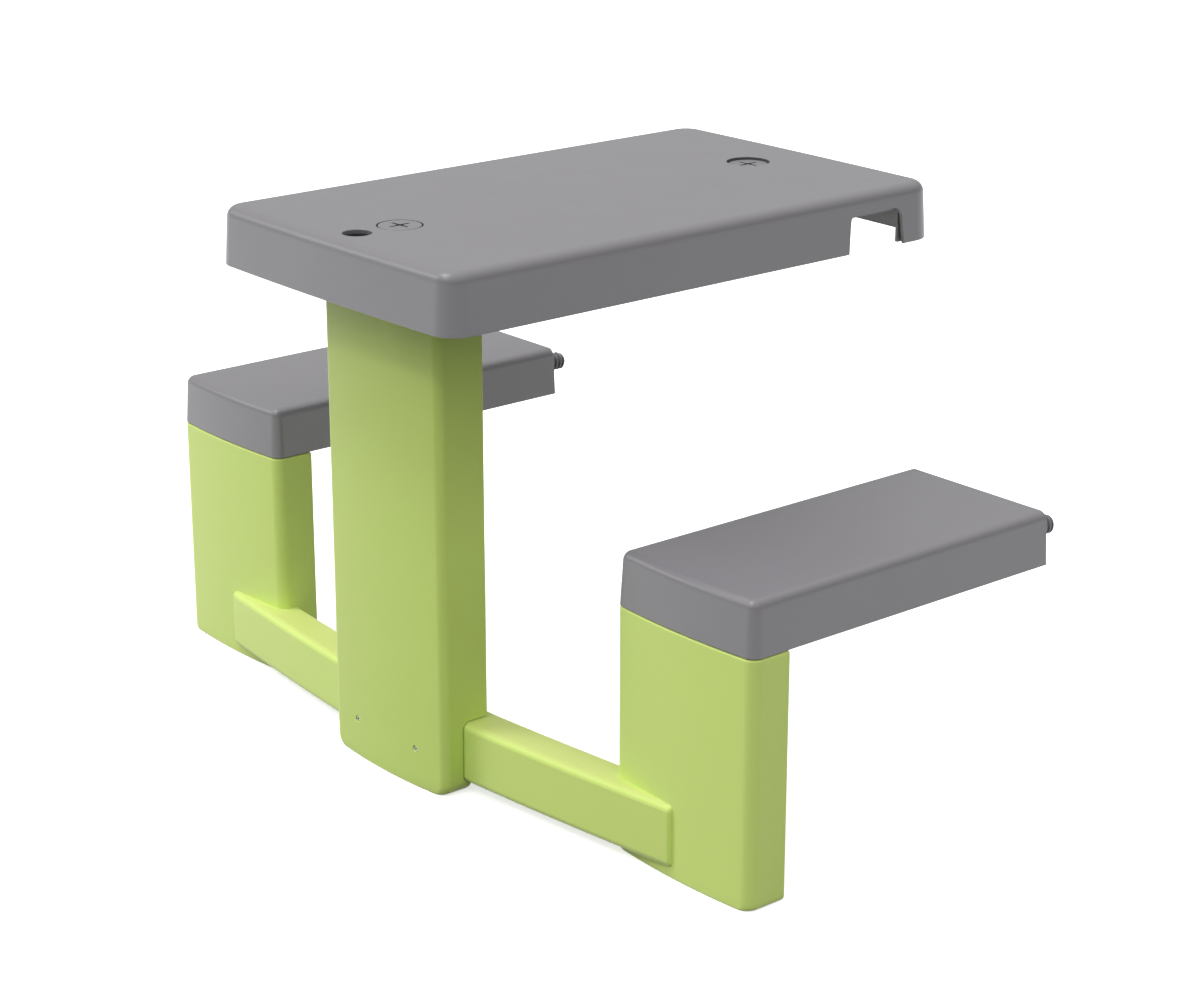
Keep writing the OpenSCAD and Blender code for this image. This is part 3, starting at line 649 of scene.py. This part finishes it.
def bench_leg(side):
    """One bench's leg under its seat's rim, and the spigot that the seat sits on."""
    rings = []
    shoulder = SEAT_RIM_Z - 0.6
    rows = [(0.0, 1), (0.15, 1), (0.5, 1), (1.0, 1), (1.6, 1), (2.4, 1), (3.4, 1), (5.0, 1), (7.0, 1),
            (shoulder - 3, 0), (shoulder - 1.6, 0), (shoulder - 1.1, 0), (shoulder - 0.6, 0),
            (shoulder - 0.25, 0), (shoulder - 0.05, 0), (shoulder, 0)]
    for z, foot in rows:
        soft = dip(1.6, z) if foot else dip(1.6, shoulder - z)
        lean = dip(BENCH_FOOT, z) if foot else 0.0
        plan = bowed_plan(0.0, SEAT_W - 2 * (lean + soft), SEAT_REACH - soft, SEAT_BOW, SEAT_CORNER,
                          BENCH_REAR - soft, 1.0, 0.0, True)
        rings.append([(x + side * SEAT_X, y, z) for x, y in plan])
    leg = loft("bench leg", rings, GREEN)
    w, front, rear, r = SEAT_W / 2 - 5.5, -SEAT_REACH + SEAT_BOW + 5.5, BENCH_REAR - 5.5, 3.75
    rings = []
    for z, inset in ((SEAT_RIM_Z - 4, 0), (231.0, 0), (231.8, 0.3), (232.2, 1.0)):
        ring = []
        for sx, sy, start in ((1, -1, -90), (1, 1, 0), (-1, 1, 90), (-1, -1, 180)):
            cy = front + r if sy < 0 else rear - r
            ring += arc(side * SEAT_X + sx * (w - r), cy, r - inset, start, start + 90, 5)
        rings.append([(x, y, z) for x, y in ring])
    return [leg, loft("spigot", rings, GREEN)]


def bench_frame():
    frame_piece = crossbar()
    join_or_cut(frame_piece, "UNION", bench_leg(-1) + bench_leg(1))
    cuts = [turned("small screw hole", [(1.65, BAR_FRONT - 2), (1.65, BAR_FRONT + 9)], GREEN,
                   (side * SCREW_X, 0, SCREW_Z), axis="y", sides=24) for side in (-1, 1)]
    join_or_cut(frame_piece, "DIFFERENCE", cuts)
    return smooth(frame_piece)


# ---------------------------------------------------------------- centre leg

def leg_plan(in_x, in_y):
    """Bowed front, soft front edges and sharp rear edges."""
    w, r = LEG_W / 2 - in_x, LEG_EDGE
    mid = w - r
    front = LEG_FRONT + in_y
    rear = LEG_REAR - in_y
    points = []
    for i in range(25):
        share = -1 + 2 * i / 24
        slope = 2 * LEG_BOW * share / mid
        size = math.hypot(slope, 1)
        points.append((mid * share + r * slope / size, front + r + LEG_BOW * share * share - r / size))
    lean = math.degrees(math.atan(2 * LEG_BOW / mid))
    points += arc(mid, front + r + LEG_BOW, r, -90 + lean, 0, 12)[1:]
    points += arc(w - 0.8, rear - 0.8, 0.8, 0, 90, 4)
    points += arc(-w + 0.8, rear - 0.8, 0.8, 90, 180, 4)
    points += arc(-mid, front + r + LEG_BOW, r, 180, 270 - lean, 12)[:-1]
    return points


def centre_leg():
    top = TABLE_H - DISC_T - SKIN
    rings = []
    for z in (0, 0.1, 0.4, 0.9, 1.5, 2.2, 3.2, 4.6, 6.4, 8.2, 10, 14,
              top - 4, top - 0.8, top - 0.4, top):
        soft = dip(1.3, z) if z < 100 else dip(0.8, top - z)
        rings.append([(x, y, z) for x, y in leg_plan(dip(LEG_FOOT, z) + soft, soft)])
    leg = loft("centre_leg_moulding", rings, LEG_GREEN_PAINTED_SHADE)
    # Notch for the crossbar, open to the rear, with the short sole under it
    front, gap, lead = BAR_FRONT - 0.8, 0.8, BAR_LEAD + 0.8
    low, high = BAR_LOW - gap, BAR_LOW + BAR_H + gap
    side = [(-290.0, high)] + arc(front + lead, high - lead, lead, 90, 180, 9) \
        + arc(front + lead, low + lead, lead, 180, 270, 9)[:-1] + \
        [(-330.2, low), (-329.5, low - 0.5), (-329.2, low - 1.6), (-329.6, low - 3.4),
         (-330.8, low - 5.4), (-332.6, low - 7.0), (-334.8, low - 8.1), (-338.0, low - 9.0),
         (-338.0, -6.0), (-290.0, -6.0)]
    notch = loft("notch", [[(x, y, z) for y, z in side] for x in (-100, 100)], LEG_GREEN_PAINTED_SHADE)
    cuts = [notch]
    for x in (-SCREW_X, SCREW_X):
        face = LEG_FRONT + LEG_BOW * (x / (LEG_W / 2 - LEG_EDGE)) ** 2
        outline = [(3.1, face - 2), (3.1, face - 0.05), (2.75, face + 0.1), (2.5, face + 0.5),
                   (2.5, -354.2), (1.65, -354.1), (1.65, BAR_FRONT + 2)]
        cuts.append(turned("small screw hole", outline, LEG_GREEN_PAINTED_SHADE, (x, 0, SCREW_Z), axis="y", sides=40))
    socket = [(SHANK_HOLE, top + 2), (SHANK_HOLE, top - 24), (6.4, top - 27), (6.4, top - 29)]
    cuts.append(turned("screw socket", socket, LEG_GREEN_PAINTED_SHADE, (0, LEG_SCREW_Y, 0)))
    join_or_cut(leg, "DIFFERENCE", cuts)
    return smooth(leg)


# ---------------------------------------------------------------- screws

def thread_tree():
    """Geometry Nodes tree of a coarse plastic thread: a sheet wrapped round its axis on a helix rule."""
    tree = bpy.data.node_groups.new("coarse thread", "GeometryNodeTree")
    tree.is_modifier = True
    face = tree.interface
    ids = {}
    for label, kind, value in (("Geometry", "NodeSocketGeometry", None),
                               ("Length", "NodeSocketFloat", (SCREW_OUT + SKIN) * MM),
                               ("Pitch", "NodeSocketFloat", PITCH * MM),
                               ("Root", "NodeSocketFloat", ROOT * MM),
                               ("Crest", "NodeSocketFloat", CREST * MM),
                               ("Start", "NodeSocketFloat", 0.0),
                               ("Plain tip", "NodeSocketFloat", 0.0012),
                               ("Material", "NodeSocketMaterial", None)):
        socket = face.new_socket(name=label, in_out="INPUT", socket_type=kind)
        if value is not None:
            socket.default_value = value
        ids[label] = socket.identifier
    face.new_socket(name="Geometry", in_out="OUTPUT", socket_type="NodeSocketGeometry")
    graph = Graph(tree)
    given = graph.add("NodeGroupInput").outputs
    length, pitch, root, crest, start, tip = (
        Num(graph, given[n]) for n in ("Length", "Pitch", "Root", "Crest", "Start", "Plain tip"))
    sheet = graph.add("GeometryNodeMeshGrid", {"Size X": 1.0, "Size Y": 1.0, "Vertices X": 65,
                                               "Vertices Y": 241})
    at = graph.add("ShaderNodeSeparateXYZ", {0: graph.add("GeometryNodeInputPosition").outputs[0]})
    turn = Num(graph, at.outputs[0]) + 0.5
    along = (Num(graph, at.outputs[1]) + 0.5) * length
    phase = graph.maths("FRACT", along / pitch - turn + 40.0)
    away = graph.maths("ABSOLUTE", phase - 0.5) * 2.0
    ridge = graph.add("ShaderNodeMapRange", {"Value": 1.0 - away, "From Min": 0.3, "From Max": 0.8},
                      interpolation_type="SMOOTHSTEP")
    fade_in = graph.add("ShaderNodeMapRange", {"Value": along - start, "From Min": -0.0006,
                                               "From Max": 0.0022})
    fade_out = graph.add("ShaderNodeMapRange", {"Value": length - tip - along, "From Min": 0.0,
                                                "From Max": 0.0026})
    lift = (Num(graph, ridge.outputs[0]) * Num(graph, fade_in.outputs[0])
            * Num(graph, fade_out.outputs[0]))
    radius = root + (crest - root) * lift
    # Rounded tip, and a closed start inside the head
    left = graph.maths("MAXIMUM", 1.0 - (length - along) / 0.0018, 0.0)
    nose = graph.maths("SQRT", graph.maths("MAXIMUM", 1.0 - left * left, 0.0))
    shut_tip = graph.maths("MINIMUM", (length - along) / 0.00012, 1.0)
    shut_start = graph.maths("MINIMUM", along / 0.0001, 1.0)
    radius = radius * (0.55 + 0.45 * nose) * shut_tip * shut_start
    angle = turn * (2 * math.pi)
    place = graph.add("ShaderNodeCombineXYZ", {0: radius * graph.maths("COSINE", angle),
                                               1: radius * graph.maths("SINE", angle), 2: 0.0 - along})
    wrapped = graph.add("GeometryNodeSetPosition", {"Geometry": sheet.outputs[0],
                                                    "Position": place.outputs[0]})
    sewn = graph.add("GeometryNodeMergeByDistance", {"Geometry": wrapped.outputs[0],
                                                     "Distance": 0.00001})
    outward = graph.add("GeometryNodeFlipFaces", {0: sewn.outputs[0]})
    real = graph.add("GeometryNodeRealizeInstances", {0: outward.outputs[0]})
    done = graph.add("GeometryNodeSetMaterial", {"Geometry": real.outputs[0],
                                                 "Material": given["Material"]})
    graph.add("NodeGroupOutput", {0: done.outputs[0]})
    return tree, ids


THREAD, THREAD_IDS = thread_tree()


def plastic_screw(name, place, head_r, toward_wall=False):
    """Big plastic screw: flat disc head with a cross recess and a coarse thread."""
    screw = new_piece(name, [], [], SCREW_GREY)
    modifier = screw.modifiers.new("thread", "NODES")
    modifier.node_group = THREAD
    for label, value in (("Length", (SCREW_OUT + SKIN) * MM),
                         ("Start", SKIN * MM if toward_wall else 0.001),
                         ("Material", SCREW_GREY)):
        modifier[THREAD_IDS[label]] = value
    settle(screw)
    e, top = HEAD_EDGE, DISC_T
    outline = [(head_r - e, 0), (head_r - 0.3 * e, 0.3 * e), (head_r, e), (head_r, top - e),
               (head_r - 0.13 * e, top - 0.5 * e), (head_r - 0.5 * e, top - 0.13 * e), (head_r - e, top)]
    head = turned("head", outline, SCREW_GREY, sides=120)
    grooves = []
    for turn in GROOVE_TURNS:
        rings = []
        for z, grow in ((top - GROOVE_DEPTH, -0.2), (top - 0.2, 0.0), (top, 0.12), (top + 1, 0.12)):
            ring = arc(GROOVE_REACH, 0, GROOVE_END_R + grow, -90, 90, 6) + [(0, GROOVE_MID + grow)] \
                + arc(-GROOVE_REACH, 0, GROOVE_END_R + grow, 90, 270, 6) + [(0, -GROOVE_MID - grow)]
            c, s = math.cos(math.radians(turn)), math.sin(math.radians(turn))
            rings.append([(x * c - y * s, x * s + y * c, z) for x, y in ring])
        grooves.append(loft("groove", rings, SCREW_GREY))
    join_or_cut(head, "DIFFERENCE", grooves)
    join_or_cut(screw, "UNION", [head])
    # The faces inside the cross groove take a darker grey: painted shade.
    screw.data.materials.clear()
    screw.data.materials.append(SCREW_GREY)
    screw.data.materials.append(GROOVE_PAINTED_SHADE)
    for polygon in screw.data.polygons:
        x, y, z = (c / MM for c in polygon.center)
        in_groove = top - GROOVE_DEPTH - 0.1 < z < top - 0.05 and math.hypot(x, y) < GROOVE_REACH + 1.1
        polygon.material_index = 1 if in_groove else 0
    turn = Matrix.Rotation(math.radians(90), 4, "X") if toward_wall else Matrix.Identity(4)
    screw.data.transform(Matrix.Translation([c * MM for c in place]) @ turn)
    return smooth(screw, 40)


def small_screws():
    """Two small steel screws with hexagon sockets, one mesh placed twice by Geometry Nodes."""
    face, length = LEG_FRONT + 2.0, 28.1
    one = turned("small screw", [(1.9, 0), (2.2, 0.3), (2.2, 3.0), (1.5, 3.05), (1.5, length - 1.5),
                                 (0.4, length)], ZINC, axis="y", sides=48)
    socket = turned("socket", [(1.15, -1.0), (1.1, 1.6)], ZINC, axis="y", sides=6)
    smooth(join_or_cut(one, "DIFFERENCE", [socket]))
    tree = bpy.data.node_groups.new("screw pair", "GeometryNodeTree")
    tree.is_modifier = True
    ids = {}
    for label, kind in (("Geometry", "NodeSocketGeometry"), ("Spread", "NodeSocketFloat"),
                        ("Middle", "NodeSocketVector"), ("Screw", "NodeSocketObject"),
                        ("Material", "NodeSocketMaterial")):
        ids[label] = tree.interface.new_socket(name=label, in_out="INPUT", socket_type=kind).identifier
    tree.interface.new_socket(name="Geometry", in_out="OUTPUT", socket_type="NodeSocketGeometry")
    graph = Graph(tree)
    given = graph.add("NodeGroupInput").outputs
    spread = Num(graph, given["Spread"])
    first = graph.add("ShaderNodeCombineXYZ", {0: 0.0 - spread})
    start = graph.add("ShaderNodeVectorMath", {0: given["Middle"], 1: first.outputs[0]},
                      operation="ADD")
    step = graph.add("ShaderNodeCombineXYZ", {0: spread * 2.0})
    line = graph.add("GeometryNodeMeshLine", {"Count": 2, "Start Location": start.outputs[0],
                                              "Offset": step.outputs[0]})
    screw = graph.add("GeometryNodeObjectInfo", {"Object": given["Screw"]})
    pair = graph.add("GeometryNodeInstanceOnPoints", {"Points": line.outputs[0],
                                                      "Instance": screw.outputs["Geometry"]})
    real = graph.add("GeometryNodeRealizeInstances", {0: pair.outputs[0]})
    done = graph.add("GeometryNodeSetMaterial", {"Geometry": real.outputs[0],
                                                 "Material": given["Material"]})
    graph.add("NodeGroupOutput", {0: done.outputs[0]})
    piece = new_piece("leg_crossbar_screws", [], [], ZINC)
    modifier = piece.modifiers.new("pair", "NODES")
    modifier.node_group = tree
    for label, value in (("Spread", SCREW_X * MM), ("Middle", (0.0, face * MM, SCREW_Z * MM)),
                         ("Screw", one), ("Material", ZINC)):
        modifier[ids[label]] = value
    settle(piece)
    drop(one)
    return piece


# ---------------------------------------------------------------- camera, light and floor

# The photograph's camera: lens in mm, place in metres, then its turn, tilt and roll in radians
LENS, EYE = 83.92, (1.6925433, -1.555746, 0.9368471)
EYE_TURN, EYE_DOWN, EYE_ROLL = 0.872, 0.3291, 0.0007


def camera():
    data = bpy.data.cameras.new("camera")
    data.sensor_fit, data.sensor_width, data.lens = "HORIZONTAL", 36.0, LENS
    data.clip_start, data.clip_end = 0.05, 100.0
    eye = bpy.data.objects.new("camera", data)
    eye.matrix_world = (Matrix.Translation(EYE) @ Matrix.Rotation(EYE_TURN, 4, "Z")
                        @ Matrix.Rotation(math.pi / 2 - EYE_DOWN, 4, "X")
                        @ Matrix.Rotation(EYE_ROLL, 4, "Z"))
    bpy.context.scene.collection.objects.link(eye)
    bpy.context.scene.camera = eye


def lamp(name, place, aim, size, power):
    data = bpy.data.lights.new(name, "AREA")
    data.shape, data.size, data.energy = "DISK", size, power
    lit = bpy.data.objects.new(name, data)
    way = Matrix.Translation(place).translation - Matrix.Translation(aim).translation
    lit.matrix_world = Matrix.Translation(place) @ way.to_track_quat("Z", "Y").to_matrix().to_4x4()
    bpy.context.scene.collection.objects.link(lit)


# Each lamp's way from the point that it is aimed at, its size in metres and its power in watts
LAMP_AIM, LAMP_REACH = (0.0, -0.15, 0.3), 10.0
LAMPS = (("glint", (-0.30, -0.30, 0.90), 2.0, 260.0),
         ("spot", (-0.04, -0.66, 0.75), 1.0, 100.0),
         ("edge", (-0.73, -0.50, 0.46), 3.0, 125.0),
         ("side", (0.90, 0.30, 0.32), 2.5, 10.0))
# The sky's strength straight up; it falls to nothing at the horizon
SKY_RISE = 1.46
# Heights, as a ray's z, between which the white backdrop ends in reflections
BACKDROP_FULL, BACKDROP_END = 0.10, 0.26
FLOOR_HALF = 40000


def studio():
    world = bpy.data.worlds.new("studio")
    bpy.context.scene.world = world
    world.use_nodes = True
    graph = Graph(world.node_tree)
    path = graph.add("ShaderNodeLightPath").outputs
    ray = graph.add("ShaderNodeSeparateXYZ",
                    {0: graph.add("ShaderNodeTexCoord").outputs["Generated"]})
    above = graph.maths("MAXIMUM", Num(graph, ray.outputs[2]), 0.0)
    # White to the camera and through clear things; in reflections only low down, like a backdrop
    backdrop = graph.add("ShaderNodeMapRange", {"Value": above, "From Min": BACKDROP_FULL,
                                                "From Max": BACKDROP_END, "To Min": 1.0, "To Max": 0.0},
                         interpolation_type="SMOOTHSTEP")
    mirrored = Num(graph, path["Is Glossy Ray"]) * Num(graph, backdrop.outputs[0])
    seen = graph.maths("MAXIMUM", Num(graph, path["Is Camera Ray"]),
                       Num(graph, path["Is Transmission Ray"]))
    seen = graph.maths("MAXIMUM", seen, mirrored)
    back = world.node_tree.nodes["Background"]
    back.inputs["Color"].default_value = (1, 1, 1, 1)
    soft = above * SKY_RISE
    graph.feed(back.inputs["Strength"], soft + seen * (1.0 - soft))
    for name, way, size, power in LAMPS:
        place = [LAMP_REACH * c + a for c, a in zip(way, LAMP_AIM)]
        lamp(name, place, LAMP_AIM, size, power)
    floor_stuff = bpy.data.materials.new("pale studio floor")
    floor_stuff.use_nodes = True
    graph = Graph(floor_stuff.node_tree)
    shader = floor_stuff.node_tree.nodes["Principled BSDF"]
    path = graph.add("ShaderNodeLightPath").outputs
    seen = graph.maths("MAXIMUM", Num(graph, path["Is Camera Ray"]), Num(graph, path["Is Glossy Ray"]))
    seen = graph.maths("MAXIMUM", seen, Num(graph, path["Is Transmission Ray"]))
    graph.feed(shader.inputs["Base Color"],
               graph.mix(seen, (0.12, 0.12, 0.12, 1), (0.93, 0.93, 0.93, 1)))
    shader.inputs["Roughness"].default_value = 0.9
    shader.inputs["Specular IOR Level"].default_value = 0.0
    # White where it is seen or mirrored, with the object's shadow kept faintly on it
    glow = graph.add("ShaderNodeEmission", {"Color": (1, 1, 1, 1), "Strength": seen * 0.66})
    both = graph.add("ShaderNodeAddShader", {0: shader.outputs[0], 1: glow.outputs[0]})
    graph.feed(floor_stuff.node_tree.nodes["Material Output"].inputs["Surface"], both.outputs[0])
    corners = [(x * FLOOR_HALF, y * FLOOR_HALF, 0) for x, y in ((-1, -1), (1, -1), (1, 1), (-1, 1))]
    floor = new_piece("floor", corners, [(0, 1, 2, 3)], floor_stuff)


# ---------------------------------------------------------------- the whole module

camera()
studio()

for piece, body, node, slot in (
        (table_top(), "module", "table_top", "grey_plastic"),
        (centre_leg(), "module", "centre_leg", "green_plastic"),
        (bench_frame(), "module", "bench_frame", "green_plastic"),
        (seat(-1, "seat_left_shell"), "module", "seat_left", "grey_plastic"),
        (seat(1, "seat_right_shell"), "module", "seat_right", "grey_plastic"),
        (plastic_screw("leg_disc_screw", (0, LEG_SCREW_Y, TABLE_H - DISC_T), DISC_R - 0.25),
         "module", "leg_screw", "screw_plastic"),
        (plastic_screw("ledge_disc_screw", (0, LEDGE_SCREW_Y, TABLE_H - DISC_T - LEDGE_RECESS),
                       DISC_R - 0.25),
         "ledge_screw", "ledge_screw", "screw_plastic"),
        (plastic_screw("wall_screw_left_threaded", (-SEAT_X + WALL_SCREW_X, -SKIN, WALL_SCREW_Z),
                       WALL_HEAD_R, True),
         "wall_screw_left", "wall_screw_left", "screw_plastic"),
        (plastic_screw("wall_screw_right_threaded", (SEAT_X + WALL_SCREW_X, -SKIN, WALL_SCREW_Z),
                       WALL_HEAD_R, True),
         "wall_screw_right", "wall_screw_right", "screw_plastic"),
        (small_screws(), "module", "crossbar_screws", "small_screw_steel")):
    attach(piece, body)
    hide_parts(node)

bpy.context.scene.view_settings.view_transform = "Standard"
